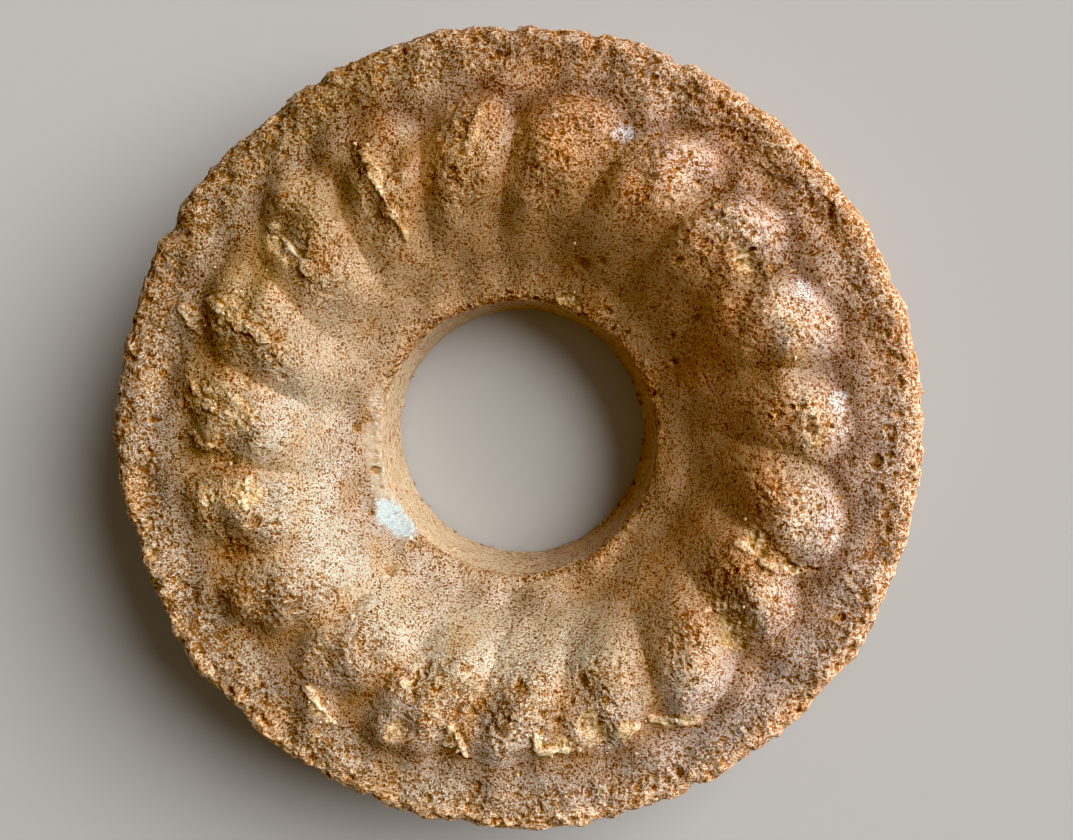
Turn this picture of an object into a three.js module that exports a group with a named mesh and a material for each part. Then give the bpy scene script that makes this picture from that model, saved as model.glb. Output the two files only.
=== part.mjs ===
// Ring-shaped sponge cake, turned out of a fluted ring tin and standing with its fluted side up.
// It is one solid piece of cake. Millimetres, +Z up, origin at the middle of the underside.

import * as THREE from 'three';
import { mergeVertices } from 'three/addons/utils/BufferGeometryUtils.js';

// Ring, seen in section
const OUTER_RADIUS = 130;
const WALL_DRAW_IN = 1.5; // how much narrower the wall is at the base
const TOP_EDGE_ROUNDING = 6;
const BASE_EDGE_ROUNDING = 8;
const HOLE_RIM_RADIUS = 46;
const HOLE_BASE_RADIUS = 42.8;
const HOLE_RIM_HEIGHT = 30;
const HOLE_RIM_ROUNDING = 2.5;
const HOLE_BASE_ROUNDING = 4;
const HOLE_OFFSET_Y = -2.4; // the hole sits a little off the middle
const CREST_RADIUS = 88.5;
const CREST_HEIGHT = 54.5; // floor of the flutes where the ring is highest
const FUNNEL_SWEEP = 2.75; // radians of a cosine: steep half way down, gentler at the hole
const LEDGE_START_RADIUS = 105;
const LEDGE_HEIGHT = 50.8;
const LEDGE_SLOPE = 0.02; // the ledge rises a little towards the outer edge
const RIM_GROOVE_RADIUS = 57; // a shallow groove runs round the lip of the hole
const RIM_GROOVE_HALF_WIDTH = 4;
const RIM_GROOVE_DEPTH = 1.3;

// Flutes: rounded ridges that run outwards with a slight swirl and end in blunt noses
const FLUTE_COUNT = 19;
const FLUTE_START_RADIUS = 57;
const FLUTE_FULL_RADIUS = 78;
const FLUTE_END_RADIUS = 111;
const FLUTE_HEIGHT = 3.8;
const FLUTE_GAIN_TO_NOSE = 1.4; // extra height at the nose
const NOSE_LENGTH = 10;
const NOSE_ROUNDING = 8; // how far the nose's end draws back at its sides
const RIDGE_SHARPNESS = 1.2; // 1 gives sharp valleys, 2 a plain wave
const SWIRL_AT_CREST = THREE.MathUtils.degToRad(5.5);
const SWIRL_PER_MM = THREE.MathUtils.degToRad(-0.19);
const FLUTE_HEIGHT_SPREAD = 0.3;
const FLUTE_REACH_SPREAD = 2.5;
const FLUTE_WANDER = THREE.MathUtils.degToRad(0.6); // the ridges aren't evenly spaced

// Unevenness of the baked surface
const LUMP_WAVES = 28;
const LUMP_SHORTEST = 11;
const LUMP_LONGEST = 30;
const LUMP_HEIGHT = 0.6;
const RELIEF_FADE_DOWN = 4; // how far below the top its relief runs out
const SLOW_WAVES = 9;
const SLOWEST_WAVE = 2; // swings round the ring
const WALL_WAVE_HEIGHT = 0.4;
const CHIP_COUNT = 34;
const CHIP_DEPTH = 1.6;
const CHIP_HALF_WIDTH = 3.2;
const CHIP_FADE_DOWN = 16; // how far below the top edge a chip runs out

// Torn places, where crumb stuck to the tin: [angle in degrees, radius, half length along the ring,
// half length across the ring, height], with a pit below zero and a lifted crag above it
const TORN_PLACES = [
  [38, 92, 6, 3, -3.2],
  [45, 98, 8, 6, 2.2],
  [31, 97, 7, 6, 1.6],
  [35, 119, 6, 4, -2.2],
  [46, 113, 5, 5, -2.0],
  [55, 117, 5, 4, -1.8],
  [71, 50, 5, 4, -1.4],
  [88, 98, 6, 9, 1.2],
  [118, 92, 3, 14, 1.8],
  [125, 96, 4, 11, -1.6],
  [139, 98, 6, 10, -2.0],
  [156, 101, 8, 5, 1.6],
  [160, 112, 5, 4, 1.4],
  [174, 93, 5, 9, -2.0],
  [181, 101, 4, 7, 1.5],
  [193, 88, 6, 8, -2.2],
  [228, 93, 5, 5, -1.8],
  [234, 109, 4, 6, 2.0],
  [248, 102, 5, 5, -2.4],
  [259, 100, 4, 5, 2.0],
  [263, 95, 3, 5, -1.8],
  [278, 101, 7, 4, 2.0],
  [285, 98, 5, 5, -2.4],
  [300, 105, 7, 4, 1.8],
  [319, 93, 7, 7, -2.0],
  [336, 90, 8, 5, 1.4],
];

// Fineness of the surface
const SEGMENTS_ROUND = 180;
const FUNNEL_STEPS = 7;
const CREST_STEPS = 5;
const NOSE_STEPS = 5;
const LEDGE_STEPS = 2;
const EDGE_STEPS = 3;
const SMALL_EDGE_STEPS = 2;
const WALL_STEPS = 2;
const CREST_OUTER_RADIUS = 99; // the crest's even stretch ends here and the noses begin
const MERGE_DISTANCE = 1e-3;

const TAU = 2 * Math.PI;
const { smoothstep, lerp, degToRad } = THREE.MathUtils;

function randomSource(seed) {
  let state = seed;
  return () => {
    state = (state * 1664525 + 1013904223) % 4294967296;
    return state / 4294967296;
  };
}

function spread(random, amount) {
  return (2 * random() - 1) * amount;
}

// Each flute has its own height and length
function makeFlutes() {
  const random = randomSource(20);
  return Array.from({ length: FLUTE_COUNT }, () => ({
    height: 1 + spread(random, FLUTE_HEIGHT_SPREAD),
    reach: spread(random, FLUTE_REACH_SPREAD),
  }));
}

// Long low waves that cross the top in all directions
function makeLumps() {
  const random = randomSource(7);
  return Array.from({ length: LUMP_WAVES }, () => {
    const direction = TAU * random();
    const pitch = TAU / lerp(LUMP_SHORTEST, LUMP_LONGEST, random());
    return { x: pitch * Math.cos(direction), y: pitch * Math.sin(direction), phase: TAU * random() };
  });
}

// Small losses of crumb along the top outer edge
function makeChips() {
  const random = randomSource(41);
  return Array.from({ length: CHIP_COUNT }, () => ({
    angle: TAU * random(),
    depth: CHIP_DEPTH * random(),
    halfWidth: CHIP_HALF_WIDTH * (0.6 + 0.8 * random()),
  }));
}

// A slow irregular swing round the ring, about 1 high
function makeSlowWave(seed) {
  const random = randomSource(seed);
  const phases = Array.from({ length: SLOW_WAVES }, () => TAU * random());
  return (angle) => {
    const swing = (sum, phase, wave) => sum + Math.sin((SLOWEST_WAVE + wave) * angle + phase);
    return phases.reduce(swing, 0) / Math.sqrt(SLOW_WAVES / 2);
  };
}

const flutes = makeFlutes();
const lumps = makeLumps();
const chips = makeChips();
const ridgeWander = makeSlowWave(5);
const wallWave = makeSlowWave(11);

// Height of the top between the flutes, at a distance from the axis
function floorHeight(radius) {
  if (radius < CREST_RADIUS) {
    const inward = (CREST_RADIUS - radius) / (CREST_RADIUS - HOLE_RIM_RADIUS);
    const drop = (1 - Math.cos(FUNNEL_SWEEP * inward)) / (1 - Math.cos(FUNNEL_SWEEP));
    const groove = RIM_GROOVE_DEPTH * Math.exp(-(((radius - RIM_GROOVE_RADIUS) / RIM_GROOVE_HALF_WIDTH) ** 2));
    return lerp(CREST_HEIGHT, HOLE_RIM_HEIGHT, drop) - groove;
  }
  if (radius < LEDGE_START_RADIUS) {
    const outward = (radius - CREST_RADIUS) / (LEDGE_START_RADIUS - CREST_RADIUS);
    return lerp(LEDGE_HEIGHT, CREST_HEIGHT, (1 + Math.cos(Math.PI * outward)) / 2);
  }
  return LEDGE_HEIGHT + LEDGE_SLOPE * (radius - LEDGE_START_RADIUS);
}

function fluteRise(angle, radius) {
  const swirl = SWIRL_AT_CREST + SWIRL_PER_MM * (radius - CREST_RADIUS) + FLUTE_WANDER * ridgeWander(angle);
  const place = ((angle - swirl) / TAU) * FLUTE_COUNT;
  const index = Math.round(place);
  const across = place - index;
  const flute = flutes[((index % FLUTE_COUNT) + FLUTE_COUNT) % FLUTE_COUNT];
  const ridge = Math.cos(Math.PI * across) ** RIDGE_SHARPNESS;
  const noseEnd = FLUTE_END_RADIUS + flute.reach - NOSE_ROUNDING * (2 * across) ** 2;
  const swell = smoothstep(radius, FLUTE_START_RADIUS, FLUTE_FULL_RADIUS);
  const nose = 1 - smoothstep(radius, noseEnd - NOSE_LENGTH, noseEnd);
  const gain = FLUTE_GAIN_TO_NOSE * smoothstep(radius, FLUTE_FULL_RADIUS, FLUTE_END_RADIUS);
  return (FLUTE_HEIGHT + gain) * flute.height * ridge * swell * nose;
}

function lumpRise(x, y) {
  const total = lumps.reduce((sum, wave) => sum + Math.sin(wave.x * x + wave.y * y + wave.phase), 0);
  return (LUMP_HEIGHT * total) / Math.sqrt(LUMP_WAVES / 2);
}

function tornRise(angle, radius) {
  return TORN_PLACES.reduce((sum, [degrees, middle, halfAlong, halfAcross, height]) => {
    const turn = Math.atan2(Math.sin(angle - degToRad(degrees)), Math.cos(angle - degToRad(degrees)));
    const along = (turn * middle) / halfAlong;
    const across = (radius - middle) / halfAcross;
    return sum + height * Math.exp(-along * along - across * across);
  }, 0);
}

function chipDepth(angle) {
  return chips.reduce((sum, chip) => {
    const turn = Math.atan2(Math.sin(angle - chip.angle), Math.cos(angle - chip.angle));
    const along = (turn * OUTER_RADIUS) / chip.halfWidth;
    return sum + chip.depth * Math.exp(-along * along);
  }, 0);
}

// Points of a quarter-round corner from one tangent point to the other
function cornerPoints(from, corner, to, steps) {
  return new THREE.QuadraticBezierCurve(from, corner, to).getPoints(steps);
}

function evenRadii(from, to, steps) {
  return Array.from({ length: steps }, (_, step) => lerp(from, to, step / steps));
}

// Closed section of the ring: out along the underside, up the wall, in over the top, down the hole
function ringSection() {
  const point = (radius, height) => new THREE.Vector2(radius, height);
  const baseRadius = OUTER_RADIUS - WALL_DRAW_IN;
  const edgeStart = OUTER_RADIUS - TOP_EDGE_ROUNDING;
  const edgeHeight = floorHeight(edgeStart);
  const rimStart = HOLE_RIM_RADIUS + HOLE_RIM_ROUNDING;

  const baseEdge = cornerPoints(
    point(baseRadius - BASE_EDGE_ROUNDING, 0),
    point(baseRadius, 0),
    point(baseRadius, BASE_EDGE_ROUNDING),
    SMALL_EDGE_STEPS,
  );
  const topEdge = cornerPoints(
    point(OUTER_RADIUS, edgeHeight - TOP_EDGE_ROUNDING),
    point(OUTER_RADIUS, edgeHeight),
    point(edgeStart, edgeHeight),
    EDGE_STEPS,
  );
  const wall = evenRadii(BASE_EDGE_ROUNDING, edgeHeight - TOP_EDGE_ROUNDING, WALL_STEPS)
    .slice(1)
    .map((height) => point(lerp(baseRadius, OUTER_RADIUS, height / edgeHeight), height));
  const top = [
    ...evenRadii(edgeStart, FLUTE_END_RADIUS, LEDGE_STEPS).slice(1),
    ...evenRadii(FLUTE_END_RADIUS, CREST_OUTER_RADIUS, NOSE_STEPS),
    ...evenRadii(CREST_OUTER_RADIUS, FLUTE_FULL_RADIUS, CREST_STEPS),
    ...evenRadii(FLUTE_FULL_RADIUS, rimStart, FUNNEL_STEPS),
  ].map((radius) => point(radius, floorHeight(radius)));
  const holeRim = cornerPoints(
    point(rimStart, floorHeight(rimStart)),
    point(HOLE_RIM_RADIUS, HOLE_RIM_HEIGHT),
    point(HOLE_RIM_RADIUS, HOLE_RIM_HEIGHT - HOLE_RIM_ROUNDING),
    SMALL_EDGE_STEPS,
  );
  const holeBase = cornerPoints(
    point(HOLE_BASE_RADIUS, HOLE_BASE_ROUNDING),
    point(HOLE_BASE_RADIUS, 0),
    point(HOLE_BASE_RADIUS + HOLE_BASE_ROUNDING, 0),
    SMALL_EDGE_STEPS,
  );
  const section = [...baseEdge, ...wall, ...topEdge, ...top, ...holeRim, ...holeBase];
  return [...section, section[0].clone()];
}

// Moves each point of the plain ring to where the baked surface really is
function bakedPoint(point) {
  const radius = Math.hypot(point.x, point.y);
  const angle = Math.atan2(point.y, point.x);
  const depth = floorHeight(radius) - point.z;
  const rise = fluteRise(angle, radius) + lumpRise(point.x, point.y) + tornRise(angle, radius);
  const topShare = 1 - smoothstep(depth, 0, RELIEF_FADE_DOWN);
  const chip = chipDepth(angle) * (1 - smoothstep(depth, 0, CHIP_FADE_DOWN));
  const wallShare = smoothstep(radius, LEDGE_START_RADIUS, OUTER_RADIUS - WALL_DRAW_IN);
  const scale = 1 + (wallShare * (WALL_WAVE_HEIGHT * wallWave(angle) - chip)) / radius;
  const offset = HOLE_OFFSET_Y * (1 - smoothstep(radius, HOLE_RIM_RADIUS, CREST_RADIUS));
  return new THREE.Vector3(point.x * scale, point.y * scale + offset, point.z + topShare * rise);
}

function cakeGeometry() {
  const geometry = new THREE.LatheGeometry(ringSection(), SEGMENTS_ROUND);
  geometry.rotateX(Math.PI / 2);
  geometry.deleteAttribute('normal');
  geometry.deleteAttribute('uv');
  const merged = mergeVertices(geometry, MERGE_DISTANCE);
  const positions = merged.getAttribute('position');
  const point = new THREE.Vector3();
  for (let index = 0; index < positions.count; index += 1) {
    point.fromBufferAttribute(positions, index);
    positions.setXYZ(index, ...bakedPoint(point).toArray());
  }
  merged.computeBoundingBox();
  const middle = merged.boundingBox.getCenter(new THREE.Vector3());
  merged.translate(-middle.x, -middle.y, 0);
  merged.computeVertexNormals();
  return merged;
}

const crust = new THREE.MeshStandardMaterial({ color: 0xb8854f, roughness: 0.85, metalness: 0 });

const cake = new THREE.Mesh(cakeGeometry(), crust);
cake.name = 'cake';

const spongeCake = new THREE.Group();
spongeCake.add(cake);

export default spongeCake;
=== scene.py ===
"""Ring-shaped sponge cake, fluted side up: brown porous crust with painted light and shade, torn crumb and a
few loose crumbs.
"""
import math

import bmesh
import bpy
import numpy as np
from mathutils import Euler, Matrix, Vector


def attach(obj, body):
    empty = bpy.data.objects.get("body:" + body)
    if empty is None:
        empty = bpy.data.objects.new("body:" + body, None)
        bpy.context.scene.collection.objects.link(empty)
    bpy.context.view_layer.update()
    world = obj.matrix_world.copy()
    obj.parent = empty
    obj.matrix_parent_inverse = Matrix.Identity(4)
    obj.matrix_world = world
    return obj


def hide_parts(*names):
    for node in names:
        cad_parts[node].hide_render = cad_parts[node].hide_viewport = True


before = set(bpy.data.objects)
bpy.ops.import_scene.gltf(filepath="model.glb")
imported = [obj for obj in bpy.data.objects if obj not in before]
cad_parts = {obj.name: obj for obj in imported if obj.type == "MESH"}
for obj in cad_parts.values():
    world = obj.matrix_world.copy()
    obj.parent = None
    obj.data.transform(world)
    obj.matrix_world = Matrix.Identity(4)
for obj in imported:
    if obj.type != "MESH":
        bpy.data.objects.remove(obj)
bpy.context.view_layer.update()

MM = 0.001
TAU = 2 * math.pi

# Form of the ring in millimetres, the same sizes as the solid has
OUTER_RADIUS = 130.0
WALL_DRAW_IN = 1.5
TOP_EDGE_ROUNDING = 6.0
BASE_EDGE_ROUNDING = 8.0
HOLE_RIM_RADIUS = 46.0
HOLE_BASE_RADIUS = 42.8
HOLE_RIM_HEIGHT = 30.0
HOLE_RIM_ROUNDING = 2.5
HOLE_BASE_ROUNDING = 4.0
HOLE_OFFSET_Y = -2.4
CREST_RADIUS = 88.5
CREST_HEIGHT = 54.5
FUNNEL_SWEEP = 2.75
LEDGE_START_RADIUS = 105.0
LEDGE_HEIGHT = 50.8
LEDGE_SLOPE = 0.02
RIM_GROOVE_RADIUS = 57.0
RIM_GROOVE_HALF_WIDTH = 4.0
RIM_GROOVE_DEPTH = 1.3

FLUTE_COUNT = 19
FLUTE_START_RADIUS = 57.0
FLUTE_FULL_RADIUS = 78.0
FLUTE_END_RADIUS = 111.0
FLUTE_HEIGHT = 3.8
FLUTE_GAIN_TO_NOSE = 1.4
NOSE_LENGTH = 10.0
NOSE_ROUNDING = 8.0
RIDGE_SHARPNESS = 1.2
SWIRL_AT_CREST = math.radians(5.5)
SWIRL_PER_MM = math.radians(-0.19)
FLUTE_HEIGHT_SPREAD = 0.3
FLUTE_REACH_SPREAD = 2.5
FLUTE_WANDER = math.radians(0.6)

LUMP_WAVES = 28
LUMP_SHORTEST = 11.0
LUMP_LONGEST = 30.0
LUMP_HEIGHT = 0.6
RELIEF_FADE_DOWN = 4.0
SLOW_WAVES = 9
SLOWEST_WAVE = 2
WALL_WAVE_HEIGHT = 0.4
CHIP_COUNT = 34
CHIP_DEPTH = 1.6
CHIP_HALF_WIDTH = 3.2
CHIP_FADE_DOWN = 16.0
CHIP_LEAST_WIDTH = 0.6
CHIP_WIDTH_SPREAD = 0.8

# Seeds of the solid's random draws
FLUTE_WANDER_SEED = 5
FLUTE_SEED = 20
LUMP_SEED = 7
WALL_SEED = 11
CHIP_SEED = 41

# Torn places: angle in degrees, radius, half lengths along and across the ring, height
TORN_PLACES = [
    (38, 92, 6, 3, -3.2), (45, 98, 8, 6, 2.2), (31, 97, 7, 6, 1.6), (35, 119, 6, 4, -2.2),
    (46, 113, 5, 5, -2.0), (55, 117, 5, 4, -1.8), (71, 50, 5, 4, -1.4), (88, 98, 6, 9, 1.2),
    (118, 92, 3, 14, 1.8), (125, 96, 4, 11, -1.6), (139, 98, 6, 10, -2.0), (156, 101, 8, 5, 1.6),
    (160, 112, 5, 4, 1.4), (174, 93, 5, 9, -2.0), (181, 101, 4, 7, 1.5), (193, 88, 6, 8, -2.2),
    (228, 93, 5, 5, -1.8), (234, 109, 4, 6, 2.0), (248, 102, 5, 5, -2.4), (259, 100, 4, 5, 2.0),
    (263, 95, 3, 5, -1.8), (278, 101, 7, 4, 2.0), (285, 98, 5, 5, -2.4), (300, 105, 7, 4, 1.8),
    (319, 93, 7, 7, -2.0), (336, 90, 8, 5, 1.4),
]

# Open pale crumb: angle in degrees, radius, half lengths along and across, strength
CRUMB_PLACES = [
    (38, 92, 4, 4, 0.8), (71, 49, 5, 4, 0.8), (88, 97, 5, 7, 0.3), (103, 92, 5, 9, 0.35),
    (118, 92, 3, 14, 0.55), (140, 94, 4, 9, 0.9), (139, 104, 6, 5, 0.5), (156, 98, 8, 6, 0.55),
    (160, 112, 5, 4, 0.5), (172, 98, 6, 5, 0.6), (176, 87, 6, 5, 0.9), (191, 101, 4, 4, 0.9),
    (192, 87, 5, 6, 1.0), (198, 91, 3, 3, 0.5), (227, 93, 4, 4, 0.6), (234, 109, 3, 5, 0.7),
    (248, 102, 4, 6, 0.8), (247, 86, 3, 6, 0.45), (259, 100, 4, 6, 0.8), (276, 86, 3, 6, 0.4),
    (279, 101, 5, 3, 0.7), (285, 98, 5, 7, 1.0), (291, 101, 4, 4, 0.9), (300, 105, 6, 3, 0.7),
    (319, 93, 7, 8, 0.7), (336, 84, 6, 5, 0.8), (335, 100, 3, 6, 0.6), (0, 96, 4, 3, 0.6),
]

# Raised flakes and sunken cracks: height, half width, paleness, the line's angles and radii
FLAKES = [
    (2.2, 1.6, 0.9, [(274, 95), (274.6, 101.6), (281.3, 103.3)]),
    (2.0, 1.7, 0.65, [(230.4, 106), (234, 108.5), (237.5, 111)]),
    (2.4, 1.6, 1.0, [(257.3, 95), (259.9, 100.6), (261.2, 105)]),
    (1.8, 1.3, 1.0, [(259.9, 100.6), (257, 103)]),
    (2.0, 2.4, 0.8, [(288.7, 101), (292.6, 101.3)]),
    (1.8, 1.5, 0.55, [(295.5, 101.5), (299, 105), (302.9, 109)]),
    (1.6, 1.4, 0.3, [(316.8, 81), (320, 84), (323.6, 90)]),
    (1.8, 2.0, 0.3, [(335.3, 78.5), (334.5, 85), (333.7, 92)]),
    (-2.0, 1.1, 0.0, [(334.9, 94.5), (336.4, 106)]),
    (-3.0, 1.3, 0.0, [(37.7, 88), (38.3, 95.5)]),
    (1.8, 1.6, 0.3, [(171, 104.5), (174.5, 96.5), (175.7, 89)]),
    (1.8, 1.8, 0.2, [(155.8, 105), (157, 95), (158, 85)]),
    (2.0, 2.6, 0.3, [(158.7, 114), (161, 107.5)]),
    (1.8, 1.8, 0.1, [(117.3, 107), (118, 90), (118.5, 74)]),
    (1.6, 1.8, 0.3, [(139, 101.5), (140.7, 83.5)]),
    (1.6, 1.6, 0.2, [(179.5, 104), (182, 98)]),
    (1.6, 1.4, 0.5, [(189, 86), (194, 89)]),
    (-1.8, 1.3, 0.0, [(247.5, 81), (248.5, 88)]),
    (1.5, 1.8, 0.1, [(96, 103), (99, 92)]),
    (1.4, 1.8, 0.15, [(44, 100), (49, 96)]),
]

# Single pits, sunk into the crust and painted dark brown as their shade: angle in degrees, radius, half
# lengths along and across
PIT_PLACES = [
    (2, 93, 2.2, 2.0), (2.5, 100.5, 2.0, 1.4), (356.4, 115, 2.4, 2.0), (11.7, 123.5, 2.2, 2.2),
    (8, 123, 2.4, 2.0), (26, 57.6, 1.2, 1.2), (33.5, 61, 1.3, 1.3), (34, 69.6, 1.0, 1.4),
    (44.6, 50.5, 1.8, 1.6), (47.7, 76.4, 1.2, 1.6), (40.5, 80.3, 3.0, 1.6), (55, 52, 2.4, 1.6),
    (64, 64, 1.8, 1.6), (69, 61.4, 2.4, 1.4), (176.5, 53.6, 2.6, 2.6), (193, 49.5, 1.8, 2.4),
    (198, 86.4, 2.6, 2.6), (206.8, 55, 1.6, 1.6), (226, 59.7, 2.2, 2.8), (225.5, 51, 2.0, 2.4),
    (249, 80, 2.2, 4.0), (253.6, 84.7, 2.0, 2.4), (258, 75, 2.4, 2.2), (271.3, 79.5, 3.0, 4.0),
    (285.5, 80.5, 2.4, 2.6),
]

# Stretches of rougher crust: angle in degrees, radius, half lengths along and across
OPEN_PLACES = [(258, 89, 62, 12), (186, 93, 42, 11), (48, 95, 60, 12), (330, 90, 30, 12)]

# Slow changes of colour, some of them painted light and shade: angle in degrees, radius, half lengths along
# and across
# Browner crust: browning, and painted shade on the side of the funnel that faces away from the light
BROWNED_AND_SHADED_PLACES = [(62, 93, 80, 19), (20, 72, 55, 20), (345, 76, 45, 16)]
GOLDEN_PLACES = [(140, 97, 105, 17), (95, 95, 50, 16), (130, 119, 85, 14)]
# Painted sheen: paler, greyer crust where the funnel faces the light
PAINTED_FUNNEL_SHEEN_PLACES = [(205, 72, 85, 18), (262, 72, 50, 19), (284, 72, 22, 16)]
# Painted sheen: grey-white crust low in the funnel on the side that faces the light
PAINTED_GREY_SHEEN_PLACES = [(196, 55, 26, 7)]
# Painted highlight: a bluish-white sheen painted on the noses that face the light
PAINTED_NOSE_SHEEN_PLACES = [(6.6, 103, 3.5, 4), (346, 104, 3, 3.5), (27, 101.5, 4, 3), (70.6, 101.6, 4, 3)]
# Smooth lip of the hole, painted with a pale sheen on the side that faces the light
LIP_SHEEN_PLACES = [(180, 48, 20, 4), (205, 48.5, 16, 4.5)]
# Flour on the hole's lip, painted bluish-white for the sky it reflects
FLOUR_AND_SHEEN_PLACES = [(210, 50.5, 9, 4), (216, 48, 7, 4)]

# Fineness of the surface
STEPS_ROUND = 1440
TOP_STEP = 0.47
WALL_STEP = 1.3
HOLE_STEP = 0.8
UNDERSIDE_STEP = 6.0
CORNER_POINTS = 24
TOP_SAMPLES = 400
UNDERSIDE, WALL, TOP, HOLE = range(4)

# Whole numbers of the random source
WORD = 2 ** 32
NEXT_FACTOR = 1664525
NEXT_STEP = 1013904223


def smoothstep(value, low, high):
    share = np.clip((value - low) / (high - low), 0.0, 1.0)
    return share * share * (3.0 - 2.0 * share)


def blend(low, high, share):
    return low + (high - low) * share


def random_source(seed):
    state = seed
    while True:
        state = (state * NEXT_FACTOR + NEXT_STEP) % WORD
        yield state / WORD


def turn_between(angle, other):
    return np.arctan2(np.sin(angle - other), np.cos(angle - other))


# The form: the same functions as the solid's, over whole arrays

def floor_height(radius):
    inward = (CREST_RADIUS - radius) / (CREST_RADIUS - HOLE_RIM_RADIUS)
    drop = (1 - np.cos(FUNNEL_SWEEP * inward)) / (1 - math.cos(FUNNEL_SWEEP))
    groove = RIM_GROOVE_DEPTH * np.exp(-((radius - RIM_GROOVE_RADIUS) / RIM_GROOVE_HALF_WIDTH) ** 2)
    funnel = blend(CREST_HEIGHT, HOLE_RIM_HEIGHT, drop) - groove
    outward = (radius - CREST_RADIUS) / (LEDGE_START_RADIUS - CREST_RADIUS)
    flank = blend(LEDGE_HEIGHT, CREST_HEIGHT, (1 + np.cos(math.pi * outward)) / 2)
    ledge = LEDGE_HEIGHT + LEDGE_SLOPE * (radius - LEDGE_START_RADIUS)
    return np.where(radius < CREST_RADIUS, funnel, np.where(radius < LEDGE_START_RADIUS, flank, ledge))


def slow_wave(seed, angle):
    random = random_source(seed)
    total = np.zeros_like(angle)
    for wave in range(SLOWEST_WAVE, SLOWEST_WAVE + SLOW_WAVES):
        total += np.sin(wave * angle + TAU * next(random))
    return total / math.sqrt(SLOW_WAVES / 2)


def flute_place(angle, radius):
    """Number of the nearest ridge, and how far across it, from -0.5 to 0.5."""
    wander = FLUTE_WANDER * slow_wave(FLUTE_WANDER_SEED, angle)
    swirl = SWIRL_AT_CREST + SWIRL_PER_MM * (radius - CREST_RADIUS) + wander
    place = (angle - swirl) / TAU * FLUTE_COUNT
    index = np.floor(place + 0.5)
    return index.astype(int) % FLUTE_COUNT, place - index


def flute_sizes(angle, radius):
    """Height factor of the nearest ridge, how high its section is there, and the radius of its nose's end."""
    random = random_source(FLUTE_SEED)
    own = np.array([(2 * next(random) - 1, 2 * next(random) - 1) for _ in range(FLUTE_COUNT)])
    index, across = flute_place(angle, radius)
    height = 1 + FLUTE_HEIGHT_SPREAD * own[index, 0]
    reach = FLUTE_REACH_SPREAD * own[index, 1]
    ridge = np.cos(math.pi * across) ** RIDGE_SHARPNESS
    return height, ridge, FLUTE_END_RADIUS + reach - NOSE_ROUNDING * (2 * across) ** 2


def flute_rise(angle, radius):
    height, ridge, nose_end = flute_sizes(angle, radius)
    swell = smoothstep(radius, FLUTE_START_RADIUS, FLUTE_FULL_RADIUS)
    nose = 1 - smoothstep(radius, nose_end - NOSE_LENGTH, nose_end)
    gain = FLUTE_GAIN_TO_NOSE * smoothstep(radius, FLUTE_FULL_RADIUS, FLUTE_END_RADIUS)
    return (FLUTE_HEIGHT + gain) * height * ridge * swell * nose


def lump_rise(x, y):
    random = random_source(LUMP_SEED)
    total = np.zeros_like(x)
    for _ in range(LUMP_WAVES):
        direction = TAU * next(random)
        pitch = TAU / blend(LUMP_SHORTEST, LUMP_LONGEST, next(random))
        total += np.sin(pitch * (math.cos(direction) * x + math.sin(direction) * y) + TAU * next(random))
    return LUMP_HEIGHT * total / math.sqrt(LUMP_WAVES / 2)


def torn_bell(angle, radius, place):
    degrees, middle, half_along, half_across = place[:4]
    along = turn_between(angle, math.radians(degrees)) * middle / half_along
    across = (radius - middle) / half_across
    return np.exp(-along * along - across * across)


def torn_rise(angle, radius):
    return sum(place[-1] * torn_bell(angle, radius, place) for place in TORN_PLACES)


def chip_depth(angle):
    random = random_source(CHIP_SEED)
    total = np.zeros_like(angle)
    for _ in range(CHIP_COUNT):
        middle = TAU * next(random)
        depth = CHIP_DEPTH * next(random)
        half_width = CHIP_HALF_WIDTH * (CHIP_LEAST_WIDTH + CHIP_WIDTH_SPREAD * next(random))
        along = turn_between(angle, middle) * OUTER_RADIUS / half_width
        total += depth * np.exp(-along * along)
    return total


def baked_points(radius, angle, height):
    x = radius * np.cos(angle)
    y = radius * np.sin(angle)
    depth = floor_height(radius) - height
    rise = flute_rise(angle, radius) + lump_rise(x, y) + torn_rise(angle, radius)
    top_share = 1 - smoothstep(depth, 0, RELIEF_FADE_DOWN)
    chip = chip_depth(angle) * (1 - smoothstep(depth, 0, CHIP_FADE_DOWN))
    wall_share = smoothstep(radius, LEDGE_START_RADIUS, OUTER_RADIUS - WALL_DRAW_IN)
    scale = 1 + wall_share * (WALL_WAVE_HEIGHT * slow_wave(WALL_SEED, angle) - chip) / radius
    offset = HOLE_OFFSET_Y * (1 - smoothstep(radius, HOLE_RIM_RADIUS, CREST_RADIUS))
    return np.stack([x * scale, y * scale + offset, height + top_share * rise], axis=-1)


# The ring's section, walked out along the underside, up the wall, in over the top and down the hole

def corner_curve(start, corner, end):
    t = np.linspace(0, 1, CORNER_POINTS)[:, None]
    return (1 - t) ** 2 * np.array(start) + 2 * t * (1 - t) * np.array(corner) + t ** 2 * np.array(end)


def spaced_along(curve, step):
    """Points an even step apart along a curve, without its last one."""
    length = np.concatenate([[0], np.cumsum(np.hypot(*np.diff(curve, axis=0).T))])
    count = max(2, round(length[-1] / step))
    wanted = np.linspace(0, length[-1], count + 1)[:-1]
    return np.stack([np.interp(wanted, length, curve[:, k]) for k in range(2)], axis=1)


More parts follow.
